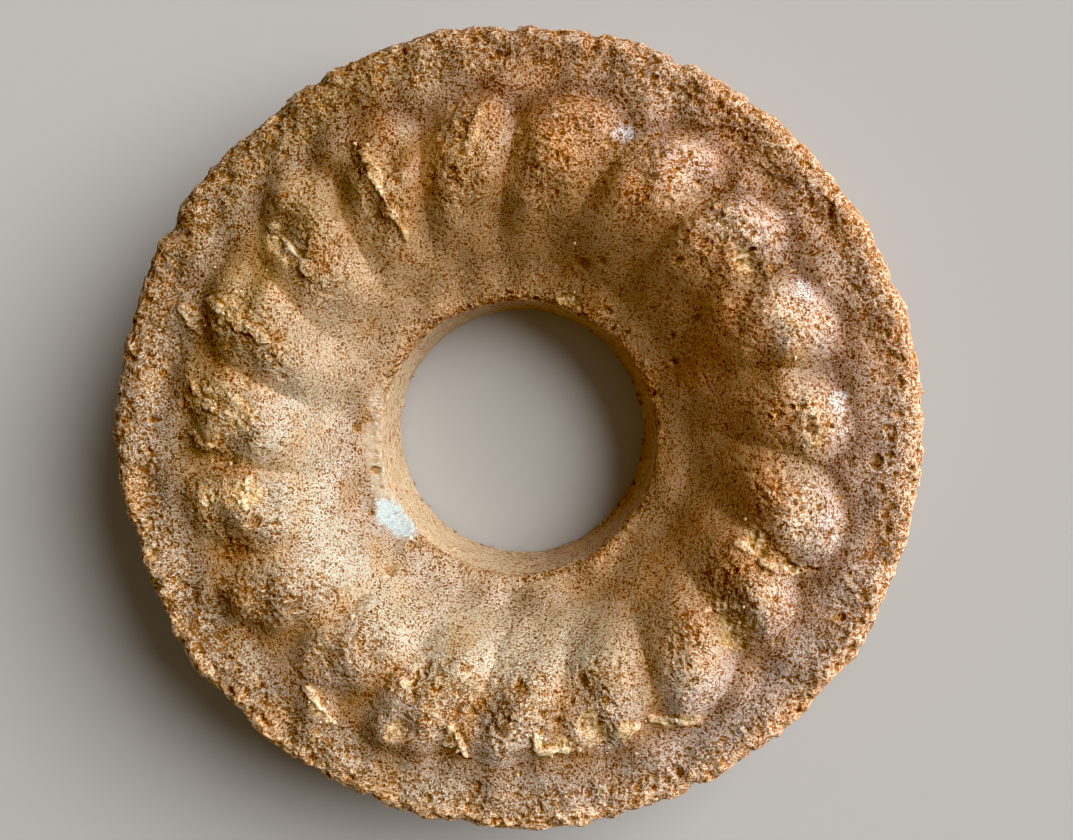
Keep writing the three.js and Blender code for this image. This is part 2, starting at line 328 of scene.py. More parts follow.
def ring_section():
    base_radius = OUTER_RADIUS - WALL_DRAW_IN
    edge_start = OUTER_RADIUS - TOP_EDGE_ROUNDING
    edge_height = float(floor_height(np.array(edge_start)))
    rim_start = HOLE_RIM_RADIUS + HOLE_RIM_ROUNDING
    base_start = (base_radius - BASE_EDGE_ROUNDING, 0)
    hole_foot = (HOLE_BASE_RADIUS + HOLE_BASE_ROUNDING, 0)
    base_edge = corner_curve(base_start, (base_radius, 0), (base_radius, BASE_EDGE_ROUNDING))
    edge_corner = (OUTER_RADIUS, edge_height)
    edge_foot = (OUTER_RADIUS, edge_height - TOP_EDGE_ROUNDING)
    top_edge = corner_curve(edge_foot, edge_corner, (edge_start, edge_height))
    radii = np.linspace(edge_start, rim_start, TOP_SAMPLES)
    top = np.stack([radii, floor_height(radii)], axis=1)
    hole_rim = corner_curve(
        top[-1], (HOLE_RIM_RADIUS, HOLE_RIM_HEIGHT), (HOLE_RIM_RADIUS, HOLE_RIM_HEIGHT - HOLE_RIM_ROUNDING))
    hole_base = corner_curve((HOLE_BASE_RADIUS, HOLE_BASE_ROUNDING), (HOLE_BASE_RADIUS, 0), hole_foot)
    stretches = [
        (UNDERSIDE, np.array([hole_foot, base_start]), UNDERSIDE_STEP),
        (WALL, np.concatenate([base_edge, top_edge[:1]]), WALL_STEP),
        (TOP, np.concatenate([top_edge, top, hole_rim]), TOP_STEP),
        (HOLE, np.concatenate([hole_rim[-1:], hole_base]), HOLE_STEP),
    ]
    spaced = [(zone, spaced_along(curve, step)) for zone, curve, step in stretches]
    zones = np.concatenate([np.full(len(points), zone) for zone, points in spaced])
    return np.concatenate([points for _, points in spaced]), zones


# Noise on points in millimetres

HASH_FACTORS = (73856093, 19349663, 83492791)
HASH_SALT = 747796405
HASH_MIXERS = [(15, 739982445), (12, 695872825)]
HASH_LAST_SHIFT = 15
LATTICE_TURN = (1.1, 2.3, 0.7)
LATTICE_SHIFT = 100000
CENTRE_BITS = 10
CENTRE_STEPS = 2 ** CENTRE_BITS - 1
DRAW_SHIFT = 7
DRAW_STEPS = 1000
FARTHEST = 9.0

ROUGH_FADE = 0.5
RIDGED_FADE = 0.6
RIDGED_OCTAVES = 2
PIT_LEAST_REACH = 0.3
PIT_REACH_SPREAD = 0.45
PIT_FLOOR_SHARE = 0.25
FOAM_WALL = (0.02, 0.32)


def cell_hash(cell, salt):
    """A number of 32 bits for each cell, different for each salt."""
    bits = np.uint32(salt * HASH_SALT % WORD)
    for axis, factor in enumerate(HASH_FACTORS):
        bits = bits ^ (cell[..., axis] * np.uint32(factor))
    for shift, factor in HASH_MIXERS:
        bits = (bits ^ (bits >> np.uint32(shift))) * np.uint32(factor)
    return bits ^ (bits >> np.uint32(HASH_LAST_SHIFT))


def cell_of(points, size, salt):
    """Cell of a lattice that each salt turns its own way, and the place inside the cell."""
    turn = np.array(Euler([share * salt for share in LATTICE_TURN]).to_matrix(), np.float64)
    scaled = points @ turn / size
    lowest = np.floor(scaled)
    return (lowest + LATTICE_SHIFT).astype(np.uint32), (scaled - lowest).astype(np.float32)


def soft_noise(points, size, salt):
    """Smooth noise from 0 to 1 with features about one size wide."""
    cell, inside = cell_of(points, size, salt)
    weight = inside * inside * (3 - 2 * inside)
    total = np.zeros(len(points), np.float32)
    for corner in np.ndindex(2, 2, 2):
        value = cell_hash(cell + np.array(corner, np.uint32), salt) / np.float32(WORD)
        share = np.prod(np.where(np.array(corner) == 1, weight, 1 - weight), axis=1)
        total += value * share
    return total


def layered_noise(points, size, salt, octaves, fade, shaped):
    """Soft noise under finer and fainter noise, each layer put through a shape."""
    total = np.zeros(len(points), np.float32)
    weight = 1.0
    whole = 0.0
    for octave in range(octaves):
        total += weight * shaped(soft_noise(points, size / 2 ** octave, salt + octave))
        whole += weight
        weight *= fade
    return total / whole


def rough_noise(points, size, salt, octaves=3):
    """Uneven noise from 0 to 1."""
    return layered_noise(points, size, salt, octaves, ROUGH_FADE, lambda value: value)


def ridged_noise(points, size, salt):
    """Thin crests that run on between hollows, from 0 to 1."""
    def crest(value):
        return 1 - np.abs(2 * value - 1)

    return layered_noise(points, size, salt, RIDGED_OCTAVES, RIDGED_FADE, crest)


def nearest_cells(points, size, salt):
    """Distance to the nearest scattered centre, to the next one, and a draw for the nearest, from 0 to 1."""
    cell, inside = cell_of(points, size, salt)
    first = np.full(len(points), FARTHEST, np.float32)
    second = first.copy()
    draw = np.zeros(len(points), np.float32)
    for step in np.ndindex(3, 3, 3):
        bits = cell_hash(cell + (np.array(step) - 1).astype(np.uint32), salt)
        parts = [(bits >> np.uint32(CENTRE_BITS * axis)) & np.uint32(CENTRE_STEPS) for axis in range(3)]
        centre = np.stack(parts, axis=1) / np.float32(CENTRE_STEPS) + (np.array(step, np.float32) - 1)
        gap = np.sqrt(((centre - inside) ** 2).sum(axis=1))
        closer = gap < first
        second = np.where(closer, first, np.minimum(second, gap))
        own_draw = (bits >> np.uint32(DRAW_SHIFT)) % np.uint32(DRAW_STEPS) / np.float32(DRAW_STEPS)
        draw = np.where(closer, own_draw, draw)
        first = np.where(closer, gap, first)
    return first, second, draw


def pits(points, size, salt, share):
    """Round pits, 1 at their middles: about that share of the cells has one."""
    first, _, draw = nearest_cells(points, size, salt)
    reach = PIT_LEAST_REACH + PIT_REACH_SPREAD * (draw / share)
    return np.where(draw < share, 1 - smoothstep(first, PIT_FLOOR_SHARE * reach, reach), 0.0)


def foam(points, size, salt):
    """Open cells side by side: 0 on the thin walls between them, up to 1 at the floor of the deepest."""
    first, second, draw = nearest_cells(points, size, salt)
    return draw * smoothstep(second - first, *FOAM_WALL)


def scatter(points, size, salt):
    """Noise for each of the three directions, from -0.5 to 0.5."""
    return np.stack([soft_noise(points, size, salt + k) - 0.5 for k in range(3)], axis=1)


# Where the crust is open, torn, brown or floury, and where light and shade are painted on it

# Bands of radius over which a mask grows or fades
FLUTES_BEGIN = (66, 86)
FLUTES_END = (104, 112)
EDGE_OPENS = (111, 120)
HOLE_RIM_CLOSES = (47, 52)
LEDGE_LACE = (102, 110)
RIM_BAND = (121, 127)
LIT_EDGE_BAND = (121, 128)
LEDGE_BAND = (106, 114)
OUTER_BAND = (94, 103)
INNER_BAND = (80, 94)
NOSE_BAND = (83, 95)
NOSE_TIP_LENGTH = 5
FOOT_HALF_WIDTH = 5
GROOVE_RADIUS = 55
GROOVE_HALF_WIDTH = 5

# Sides of the ring: direction in degrees, level square to it, and how much it gains towards it
LEDGE_SIDE = (250, 0.7, 1.0)
OUTER_SHEEN_SIDE = (30, 0.75, 1.0)
INNER_SIDE = (215, 0.9, -0.9)
LIT_EDGE_SIDE = (308.43, 0.8, 1.0)
LIT_SIDE = (325, 0.5, 1.5)
SUNNY_SIDE = (35, 0.3, 1.0)
HOLE_SKIN_LIT_SIDE = (195, 0.35, 1.0)

# Noise of the masks: its size in millimetres and its salt
OPEN_PATCHES = (24, 3)
COARSE_RAGS = (6, 31)
FINE_RAGS = (2.2, 34)
FINE_RAG_SHARE = 0.5
RAG_LEVEL = 0.75
FLAKE_RAGS = (2.6, 33)
FLAKE_RAG_REACH = 5.0
FLAKE_RAG_LEVEL = 0.45
FLAKE_CORE = 0.5

# Edges of the patches: raggedness, and the levels between which a patch begins and is whole
CRUMB_EDGE = (0.8, 0.3, 0.62)
PIT_EDGE = (1.2, 0.4, 0.9)
PAINTED_NOSE_SHEEN_EDGE = (0.7, 0.3, 0.8)
LIP_SHEEN_EDGE = (0.7, 0.25, 0.75)
FLOUR_AND_SHEEN_EDGE = (0.9, 0.35, 0.75)

# How open the crust is, and how thick its lace of pores
OPEN_ON_FLUTES = 0.85
OPEN_AT_HOLE_RIM = 0.7
OPEN_IN_PLACES = 0.8
LEAST_OPEN = 0.06
OPEN_BY_ZONE = {WALL: 0.7, HOLE: 0.25, UNDERSIDE: 0.1}
LACED_ON_LEDGE = 0.6
LEAST_LACED = 0.2
LACED_BY_ZONE = {HOLE: 0.1, UNDERSIDE: 0.3}


def widest_bell(angle, radius, places):
    """The strongest place at each point; a place's fifth number is its strength."""
    total = np.zeros(len(angle))
    for place in places:
        strength = place[4] if len(place) > 4 else 1
        total = np.maximum(total, strength * torn_bell(angle, radius, place))
    return total


def line_distance(x, y, line):
    """Distance in plan to a line through points given by angle and radius."""
    corners = [(r * math.cos(math.radians(d)), r * math.sin(math.radians(d))) for d, r in line]
    nearest = np.full(len(x), np.inf)
    for (ax, ay), (bx, by) in zip(corners, corners[1:]):
        span = (bx - ax) ** 2 + (by - ay) ** 2
        share = np.clip(((x - ax) * (bx - ax) + (y - ay) * (by - ay)) / span, 0, 1)
        nearest = np.minimum(nearest, np.hypot(x - blend(ax, bx, share), y - blend(ay, by, share)))
    return nearest


def flake_shapes(points, on_top):
    """Height of the flakes and cracks, and how pale each point is for lying on a flake, from 0 to 1."""
    ragged = FLAKE_RAG_REACH * (rough_noise(points, *FLAKE_RAGS) - FLAKE_RAG_LEVEL)
    height = np.zeros(len(points))
    share = np.zeros(len(points))
    for rise, half_width, paleness, line in FLAKES:
        distance = line_distance(points[:, 0], points[:, 1], line) + ragged
        part = (1 - smoothstep(distance, FLAKE_CORE * half_width, half_width)) * on_top
        height += rise * part
        share = np.maximum(share, paleness * part)
    return height, share


def towards(angle, direction, level, gain):
    return np.clip(level + gain * np.cos(angle - math.radians(direction)), 0, 1)


def by_zone(values, zone, own):
    for side, share in own.items():
        values = np.where(zone == side, share, values)
    return values


def crust_masks(points, radius, angle, zone):
    """How far each point belongs to each kind of crust and of painted light and shade, from 0 to 1, and the
    height of the flakes.
    """
    on_top = zone == TOP
    _, ridge, nose_end = flute_sizes(angle, radius)
    on_flutes = smoothstep(radius, *FLUTES_BEGIN) * (1 - smoothstep(radius, *FLUTES_END))
    patchy = rough_noise(points, *OPEN_PATCHES)
    ragged = rough_noise(points, *COARSE_RAGS) + FINE_RAG_SHARE * rough_noise(points, *FINE_RAGS) - RAG_LEVEL

    def soft_places(places):
        return widest_bell(angle, radius, places) * on_top

    def ragged_places(places, edge):
        raggedness, begins, whole = edge
        return smoothstep(widest_bell(angle, radius, places) + raggedness * ragged, begins, whole) * on_top

    crumb = ragged_places(CRUMB_PLACES, CRUMB_EDGE)
    open_crust = np.maximum.reduce([
        smoothstep(radius, *EDGE_OPENS),
        OPEN_ON_FLUTES * on_flutes * ridge,
        OPEN_AT_HOLE_RIM * (1 - smoothstep(radius, *HOLE_RIM_CLOSES)),
        OPEN_IN_PLACES * widest_bell(angle, radius, OPEN_PLACES),
        crumb,
    ])
    open_crust = by_zone(np.clip(open_crust + patchy - 0.5, LEAST_OPEN, 1), zone, OPEN_BY_ZONE)
    on_ledge = LACED_ON_LEDGE * smoothstep(radius, *LEDGE_LACE)
    laced = np.maximum.reduce([open_crust, on_ledge, np.full(len(points), LEAST_LACED)])
    flake_rise, flake = flake_shapes(points, on_top)
    furrow = on_flutes * (1 - ridge) * on_top
    nose = ridge * smoothstep(radius, *NOSE_BAND) * on_top
    nose = nose * (1 - smoothstep(radius, nose_end - NOSE_TIP_LENGTH, nose_end))
    return {
        "open": open_crust,
        "laced": by_zone(laced, zone, LACED_BY_ZONE),
        "crumb": crumb,
        "flake_rise": flake_rise,
        "flake": flake,
        "pit": ragged_places(PIT_PLACES, PIT_EDGE),
        "painted_nose_sheen": ragged_places(PAINTED_NOSE_SHEEN_PLACES, PAINTED_NOSE_SHEEN_EDGE),
        "lip": ragged_places(LIP_SHEEN_PLACES, LIP_SHEEN_EDGE),
        "flour_and_sheen": ragged_places(FLOUR_AND_SHEEN_PLACES, FLOUR_AND_SHEEN_EDGE),
        # browning, and painted shade where the funnel faces away from the light
        "browned_and_shaded": soft_places(BROWNED_AND_SHADED_PLACES),
        "golden": soft_places(GOLDEN_PLACES),
        # painted sheen where the funnel faces the light
        "pale": soft_places(PAINTED_FUNNEL_SHEEN_PLACES),
        "painted_grey_sheen": soft_places(PAINTED_GREY_SHEEN_PLACES),
        "furrow": furrow,
        "furrow_floor_shade": furrow ** 2,
        "nose": nose,
        "lit_nose": nose * towards(angle, *LIT_SIDE),
        "foot": np.exp(-((radius - nose_end) / FOOT_HALF_WIDTH) ** 2) * on_top,
        "groove": np.exp(-((radius - GROOVE_RADIUS) / GROOVE_HALF_WIDTH) ** 2) * on_top,
        "rim": smoothstep(radius, *RIM_BAND) * on_top,
        "lit_edge": smoothstep(radius, *LIT_EDGE_BAND) * towards(angle, *LIT_EDGE_SIDE) * on_top,
        "ledge": smoothstep(radius, *LEDGE_BAND) * towards(angle, *LEDGE_SIDE) * on_top,
        # painted bluish sheen on the outer part of the ring towards the light
        "outer": smoothstep(radius, *OUTER_BAND) * towards(angle, *OUTER_SHEEN_SIDE),
        "inner": (1 - smoothstep(radius, *INNER_BAND)) * towards(angle, *INNER_SIDE),
        "sunward": towards(angle, *SUNNY_SIDE),
        # painted light on the hole's wall where it faces the light
        "hole_skin_lit": (zone == HOLE) * towards(angle, *HOLE_SKIN_LIT_SIDE),
    }


# Fine relief: size of its noise in millimetres, its salt, and for pits the share of cells with one
WARP = (1.5, 50)
LARGE_CELLS = (2.6, 61)
SMALL_CELLS = (1.4, 62)
BUBBLES = (3.4, 63, 0.25)
SKIN_PORES = (1.5, 64, 0.5)
LACE = (1.9, 65)
LACE_LEVEL = 0.55
CRAGS = (4.0, 69)
SWELLS = (9.0, 75)
SWELL_OCTAVES = 2

# Heights and depths of that relief, pairs for closed and for open crust
LACE_HEIGHT = (0.12, 0.65)
CRAG_HEIGHT = (0.2, 0.7)
LARGE_CELL_DEPTH = (0.05, 0.7)
SMALL_CELL_DEPTH = (0.05, 0.4)
BUBBLE_DEPTH = (0.1, 1.0)
SKIN_PORE_DEPTH = (0.2, 0.1)
RIM_CRAG_HEIGHT = 2.0
SWELL_HEIGHT = 2.2
CRUMB_CRAG_HEIGHT = 1.8
CRUMB_SINK = 0.4
PIT_DEPTH = 1.0
FLAKE_SHARE = 0.6
UNDERSIDE_SHARE = 0.15


def crust_rise(points, masks, zone):
    """Height of the fine relief along the surface's normal."""
    open_crust = masks["open"]
    warped = points + scatter(points, *WARP)
    lace = ridged_noise(warped, *LACE) - LACE_LEVEL
    crag = rough_noise(points, *CRAGS) - 0.5
    swell = rough_noise(points, *SWELLS, octaves=SWELL_OCTAVES) - 0.5
    rise = (
        blend(*LACE_HEIGHT, open_crust) * lace
        + blend(*CRAG_HEIGHT, open_crust) * crag
        + RIM_CRAG_HEIGHT * masks["rim"] * crag
        + SWELL_HEIGHT * open_crust * swell
        + masks["crumb"] * (CRUMB_CRAG_HEIGHT * crag - CRUMB_SINK)
        - blend(*LARGE_CELL_DEPTH, open_crust) * foam(warped, *LARGE_CELLS) ** 2
        - blend(*SMALL_CELL_DEPTH, open_crust) * foam(warped, *SMALL_CELLS)
        - blend(*BUBBLE_DEPTH, open_crust) * pits(warped, *BUBBLES)
        - blend(*SKIN_PORE_DEPTH, open_crust) * pits(warped, *SKIN_PORES)
        - PIT_DEPTH * masks["pit"]
        + FLAKE_SHARE * masks["flake_rise"]
    )
    return np.where(zone == UNDERSIDE, UNDERSIDE_SHARE * rise, rise)


# The mesh and its layout

def around_mean(values, reach):
    """Mean over a square patch of a grid that wraps both ways."""
    for axis in range(2):
        values = sum(np.roll(values, step, axis=axis) for step in range(-reach, reach + 1))
    return values / (2 * reach + 1) ** 2


def surface_normals(grid):
    along = np.roll(grid, -1, axis=1) - np.roll(grid, 1, axis=1)
    across = np.roll(grid, -1, axis=0) - np.roll(grid, 1, axis=0)
    normals = np.cross(along, across)
    return normals / np.linalg.norm(normals, axis=-1, keepdims=True)


def grid_mesh(name, grid):
    """Closed mesh of four-sided faces over a grid that wraps both ways."""
    rows, columns = grid.shape[:2]
    number = np.arange(rows * columns).reshape(rows, columns)
    faces = np.stack([
        number,
        np.roll(number, -1, axis=1),
        np.roll(number, (-1, -1), axis=(0, 1)),
        np.roll(number, -1, axis=0),
    ], axis=-1).reshape(-1, 4)
    mesh = bpy.data.meshes.new(name)
    mesh.vertices.add(rows * columns)
    mesh.vertices.foreach_set("co", (grid * MM).astype(np.float32).ravel())
    mesh.loops.add(faces.size)
    mesh.loops.foreach_set("vertex_index", faces.astype(np.int32).ravel())
    mesh.polygons.add(len(faces))
    mesh.polygons.foreach_set("loop_start", np.arange(0, faces.size, 4, dtype=np.int32))
    mesh.polygons.foreach_set("use_smooth", np.ones(len(faces), bool))
    mesh.update(calc_edges=True)
    mesh.validate()
    return mesh


def add_attribute(mesh, name, values):
    layer = mesh.attributes.new(name, "FLOAT", "POINT")
    layer.data.foreach_set("value", np.asarray(values, np.float32).ravel())


def add_colour(mesh, values):
    colour = np.ones((len(values), 4), np.float32)
    colour[:, :3] = values
    layer = mesh.attributes.new("crust_colour", "FLOAT_COLOR", "POINT")
    layer.data.foreach_set("color", colour.ravel())


def new_object(name, data):
    made = bpy.data.objects.new(name, data)
    bpy.context.collection.objects.link(made)
    return made


# Flat rings: middle, inner and outer radius
RING_LAYOUT = {TOP: ((0.307, 0.307), 0.105, 0.302), UNDERSIDE: ((0.81, 0.19), 0.065, 0.18)}
# Flat strips: low corner, size of a strip, number of strips, how many lie side by side
STRIP_LAYOUT = {WALL: ((0.005, 0.625), (0.478, 0.122), 4, 2), HOLE: ((0.005, 0.90), (0.34, 0.075), 2, 2)}
STRIP_PITCH = (1.04, 1.08)


def lay_out_for_bake(mesh, zones, section):
    """Flat layout of the surface: top and underside as rings, wall in four strips, hole in two."""
    rows = len(section)
    columns = STEPS_ROUND
    row, column = np.meshgrid(np.arange(rows), np.arange(columns), indexing="ij")
    corner_row = np.stack([row, row, row + 1, row + 1], axis=-1)
    corner_column = np.stack([column, column + 1, column + 1, column], axis=-1)
    steps = np.hypot(*np.diff(np.vstack([section, section[:1]]), axis=0).T)
    along = np.concatenate([[0], np.cumsum(steps)])
    angle = corner_column * TAU / columns
    face_zone = np.repeat(zones[:, None], columns, axis=1)[..., None]
    place = np.zeros((rows, columns, 4, 2))
    for zone in (UNDERSIDE, WALL, TOP, HOLE):
        first, last = np.flatnonzero(zones == zone)[[0, -1]]
        share = (along[corner_row] - along[first]) / (along[last + 1] - along[first])
        if zone in RING_LAYOUT:
            middle, inner, outer = RING_LAYOUT[zone]
            share = 1 - share if zone == TOP else share
            reach = blend(inner, outer, share)
            flat = np.stack([middle[0] + reach * np.cos(angle), middle[1] + reach * np.sin(angle)], axis=-1)
        else:
            low, strip_size, strips, per_row = STRIP_LAYOUT[zone]
            strip = column[..., None] * strips // columns
            within = corner_column * strips / columns - strip
            flat = np.stack([
                low[0] + (strip % per_row * STRIP_PITCH[0] + within) * strip_size[0],
                low[1] + (strip // per_row * STRIP_PITCH[1] + share) * strip_size[1],
            ], axis=-1)
        place = np.where((face_zone == zone)[..., None], flat, place)
    layer = mesh.uv_layers.new(name="OFBake")
    layer.data.foreach_set("uv", place.astype(np.float32).ravel())


# Colours of the crust as linear red, green and blue, several of them painted light and shade
CRUST = (0.335, 0.217, 0.120)
CRUST_GOLDEN = (0.188, 0.119, 0.034)
CRUST_BROWNED_AND_SHADED = (0.348, 0.190, 0.088)
PAINTED_FUNNEL_SHEEN = (0.360, 0.318, 0.240)
CRUST_LEDGE = (0.325, 0.256, 0.182)
# Painted highlight for raised tips
CRUST_TIP_HIGHLIGHT = (0.50, 0.335, 0.185)
LIT_NOSE = (0.49, 0.415, 0.345)
# Painted light on the rounding of the outer edge
PAINTED_EDGE_LIGHT = (0.64, 0.46, 0.28)
PAINTED_GREY_SHEEN = (0.30, 0.225, 0.165)
# Painted shade for furrows and valleys
VALLEY_SHADE = (0.34, 0.165, 0.042)
# Painted shade for sunken hollows
HOLLOW_SHADE = (0.34, 0.165, 0.035)
HOLE_SKIN_LIT = (0.54, 0.42, 0.27)
CRUMB = (0.62, 0.47, 0.25)
# Pale crumb, also the painted highlight on the tips of torn crumb
PALE_CRUMB_AND_TIP_HIGHLIGHT = (0.76, 0.71, 0.54)
CRUMB_HOLLOW_SHADE = (0.42, 0.265, 0.10)
AMBER = (0.47, 0.245, 0.050)
PIT_SHADE = (0.24, 0.120, 0.034)
FLAKE = (0.72, 0.60, 0.40)
PAINTED_NOSE_SHEEN = (0.63, 0.67, 0.78)
LIP_SHEEN = (0.46, 0.41, 0.32)
FLOUR_AND_SHEEN = (0.36, 0.45, 0.53)
BROWN_GRAIN = (0.41, 0.245, 0.115)

# Factors on the colour, some of them painted light and shade
LIGHT_PATCH = (1.12, 1.14, 1.18)
BROWN_PATCH = (1.0, 0.86, 0.68)
OUTER_SHEEN_TINT = (1.01, 1.02, 1.22)
INNER_TINT = (1.065, 0.965, 0.83)
FOOT_SHADE = (0.56, 0.45, 0.34)
SKIN_GAIN = (0.99, 0.95, 0.86)

# Colours laid over each other round the ring, several of them painted light and shade: mask, colour, share
SLOW_TINTS = [
    ("golden", CRUST_GOLDEN, 0.9),
    # browning, and painted shade where the funnel faces away from the light
    ("browned_and_shaded", CRUST_BROWNED_AND_SHADED, 0.9),
    # painted sheen where the funnel faces the light
    ("pale", PAINTED_FUNNEL_SHEEN, 0.9),
    # painted grey sheen low in the funnel
    ("painted_grey_sheen", PAINTED_GREY_SHEEN, 0.75),
    # painted shade on the floors of the furrows
    ("furrow_floor_shade", VALLEY_SHADE, 0.6),
    ("lit_nose", LIT_NOSE, 0.8),
    ("ledge", CRUST_LEDGE, 0.8),
    # painted light on the rounding of the outer edge
    ("lit_edge", PAINTED_EDGE_LIGHT, 0.9),
]

# Coats, and sheen painted as colour, on what stands up: mask, colour, share, how sunken a point is where they
# end and are whole
COATS_AND_SHEEN = [
    ("flake", FLAKE, 0.8, (0.6, -0.4)),
    # painted sheen on the noses that face the light
    ("painted_nose_sheen", PAINTED_NOSE_SHEEN, 0.6, (0.5, -0.3)),
    # smooth lip, with a painted pale sheen
    ("lip", LIP_SHEEN, 0.5, (0.8, 0.0)),
    # flour, with a painted bluish reflection
    ("flour_and_sheen", FLOUR_AND_SHEEN, 0.85, (0.8, 0.0)),
]

# Noise of the colour patches, and levels between which colours begin and are whole
COLOUR_PATCHES = (13, 71)
PATCH_LEVELS = (0.5, 0.75)
VALLEY_LEVELS = (0.1, 1.2)
TIP_LEVELS = (0.0, 0.9)
HOLLOW_LEVELS = (0.05, 1.0)
CRUMB_HOLLOW_LEVELS = (-0.2, 0.9)
CRUMB_TIP_LEVELS = (0.1, 0.9)

# Shares of single colours, pairs for the shadow side and for the sunny side
FOOT_SHARE = (0.45, 1.0)
NOSE_LIGHT = (0.05, 0.25)
GROOVE_SHADE = 0.15
FURROW_SHADE = 0.4
HOLE_SKIN_LIT_SHARE = 0.8
VALLEY_SHARE = 0.6
AMBER_SHARE = 0.5
CRUMB_SHARE = 0.9
PIT_SHARE = 0.75


def plain(colour, count):
    return np.tile(np.array(colour), (count, 1))


def mixed(first, second, share):
    return first + (np.asarray(second) - first) * np.asarray(share)[:, None]


def tinted(colour, factors, share):
    return colour * (1 + (np.array(factors) - 1) * np.asarray(share)[:, None])


def crust_colour(points, masks, sunken, valley):
    """Colour of the crust before its finest grain: a painted highlight on the tips, painted shade in the
    hollows, and slow changes round the ring, some of them painted light and shade.
    """
    sunward = masks["sunward"]
    patchy = rough_noise(points, *COLOUR_PATCHES)
    colour = plain(CRUST, len(points))
    for name, tint, share in SLOW_TINTS:
        colour = mixed(colour, tint, share * masks[name])
    colour = tinted(colour, FOOT_SHADE, blend(*FOOT_SHARE, sunward) * masks["foot"])
    shade = (1 - GROOVE_SHADE * masks["groove"]) * (1 - FURROW_SHADE * masks["furrow"] * sunward)
    shade *= 1 + blend(*NOSE_LIGHT, sunward) * masks["nose"]
    colour = colour * shade[:, None]
    colour = tinted(colour, LIGHT_PATCH, smoothstep(patchy, *PATCH_LEVELS))
    colour = tinted(colour, BROWN_PATCH, smoothstep(1 - patchy, *PATCH_LEVELS))
    # Painted bluish sheen on the outer part of the ring towards the light
    colour = tinted(colour, OUTER_SHEEN_TINT, masks["outer"])
    colour = tinted(colour, INNER_TINT, masks["inner"])
    # The hole's wall is painted pale where it faces the light
    colour = mixed(colour, HOLE_SKIN_LIT, HOLE_SKIN_LIT_SHARE * masks["hole_skin_lit"])
    # Broad valleys of the relief get painted shade
    colour = mixed(colour, VALLEY_SHADE, VALLEY_SHARE * smoothstep(valley, *VALLEY_LEVELS))
    # Raised tips get a painted highlight
    tip = np.array(CRUST_TIP_HIGHLIGHT) * colour / np.array(CRUST)
    colour = mixed(colour, tip, smoothstep(-sunken, *TIP_LEVELS))
    # Sunken points get painted shade
    colour = mixed(colour, HOLLOW_SHADE, smoothstep(sunken, *HOLLOW_LEVELS))
    crumb = mixed(plain(CRUMB, len(points)), AMBER, AMBER_SHARE * sunward)
    # Torn crumb too gets painted shade in its hollows and a painted highlight on its tips
    crumb = mixed(crumb, CRUMB_HOLLOW_SHADE, smoothstep(sunken, *CRUMB_HOLLOW_LEVELS))
    crumb = mixed(crumb, PALE_CRUMB_AND_TIP_HIGHLIGHT, smoothstep(-sunken, *CRUMB_TIP_LEVELS))
    colour = mixed(colour, crumb, CRUMB_SHARE * masks["crumb"])
    # Painted shade in the single pits
    colour = mixed(colour, PIT_SHADE, PIT_SHARE * masks["pit"])
    for name, overlay, share, levels in COATS_AND_SHEEN:
        colour = mixed(colour, overlay, share * masks[name] * smoothstep(sunken, *levels))
    return np.clip(colour * np.array(SKIN_GAIN), 0, 1)


# Hollows and valleys: reach in grid steps, and the depth that counts as fully sunken
HOLLOW_REACH = 4
HOLLOW_DEPTH = 0.55
VALLEY_REACH = 14
VALLEY_SMOOTHING = 3

# Sideways push of open crust, and how far coats close the pores
PUSH = (1.6, 90)
PUSH_REACH = 0.7
FLAKE_COVER = 0.45
CRUMB_COVER = 0.3
PORES_CLOSED = 0.75


def make_cake():
    section, zones = ring_section()
    angle = np.linspace(0, TAU, STEPS_ROUND, endpoint=False)
    radius_grid, angle_grid = np.meshgrid(section[:, 0], angle, indexing="ij")
    height_grid = np.repeat(section[:, 1:], STEPS_ROUND, axis=1)
    zone = np.repeat(zones, STEPS_ROUND)
    form = baked_points(radius_grid, angle_grid, height_grid)
    middle = (form[..., :2].max(axis=(0, 1)) + form[..., :2].min(axis=(0, 1))) / 2
    form[..., :2] -= middle
    points = form.reshape(-1, 3)
    masks = crust_masks(points, radius_grid.ravel(), angle_grid.ravel(), zone)
    rise = crust_rise(points, masks, zone).reshape(form.shape[:2])
    sideways = (PUSH_REACH * scatter(points, *PUSH) * masks["open"][:, None]).reshape(form.shape)
    grid = form + surface_normals(form) * rise[..., None] + sideways
    on_underside = zone.reshape(form.shape[:2]) == UNDERSIDE
    grid[..., 2] = np.where(on_underside, form[..., 2], np.maximum(grid[..., 2], 0))
    mesh = grid_mesh("cake_crust", grid)
    lay_out_for_bake(mesh, zones, section)
    sunken = np.clip((around_mean(rise, HOLLOW_REACH) - rise) / HOLLOW_DEPTH, -1, 1).ravel()
    valley = (around_mean(rise, VALLEY_REACH) - around_mean(rise, VALLEY_SMOOTHING)).ravel()
    add_colour(mesh, crust_colour(points, masks, sunken, valley))
    add_attribute(mesh, "laced", masks["laced"])
    covers = [masks["lip"], masks["flour_and_sheen"], FLAKE_COVER * masks["flake"], CRUMB_COVER * masks["crumb"]]
    add_attribute(mesh, "porous", 1 - PORES_CLOSED * np.maximum.reduce(covers))
    return new_object("cake_crust", mesh), middle


# Grains of crumb: piled along the torn flakes, loose near torn places, and left along the edges

GRAIN_SEED = 12
GRAIN_ROUNDNESS = 2
GRAIN_STRETCH = (0.7, 1.3)
GRAIN_LUMPS = (0.65, 1.35)
GRAIN_SHADES = (0.8, 1.1)
GRAIN_LACED = 0.6
GRAIN_POROUS = 0.2

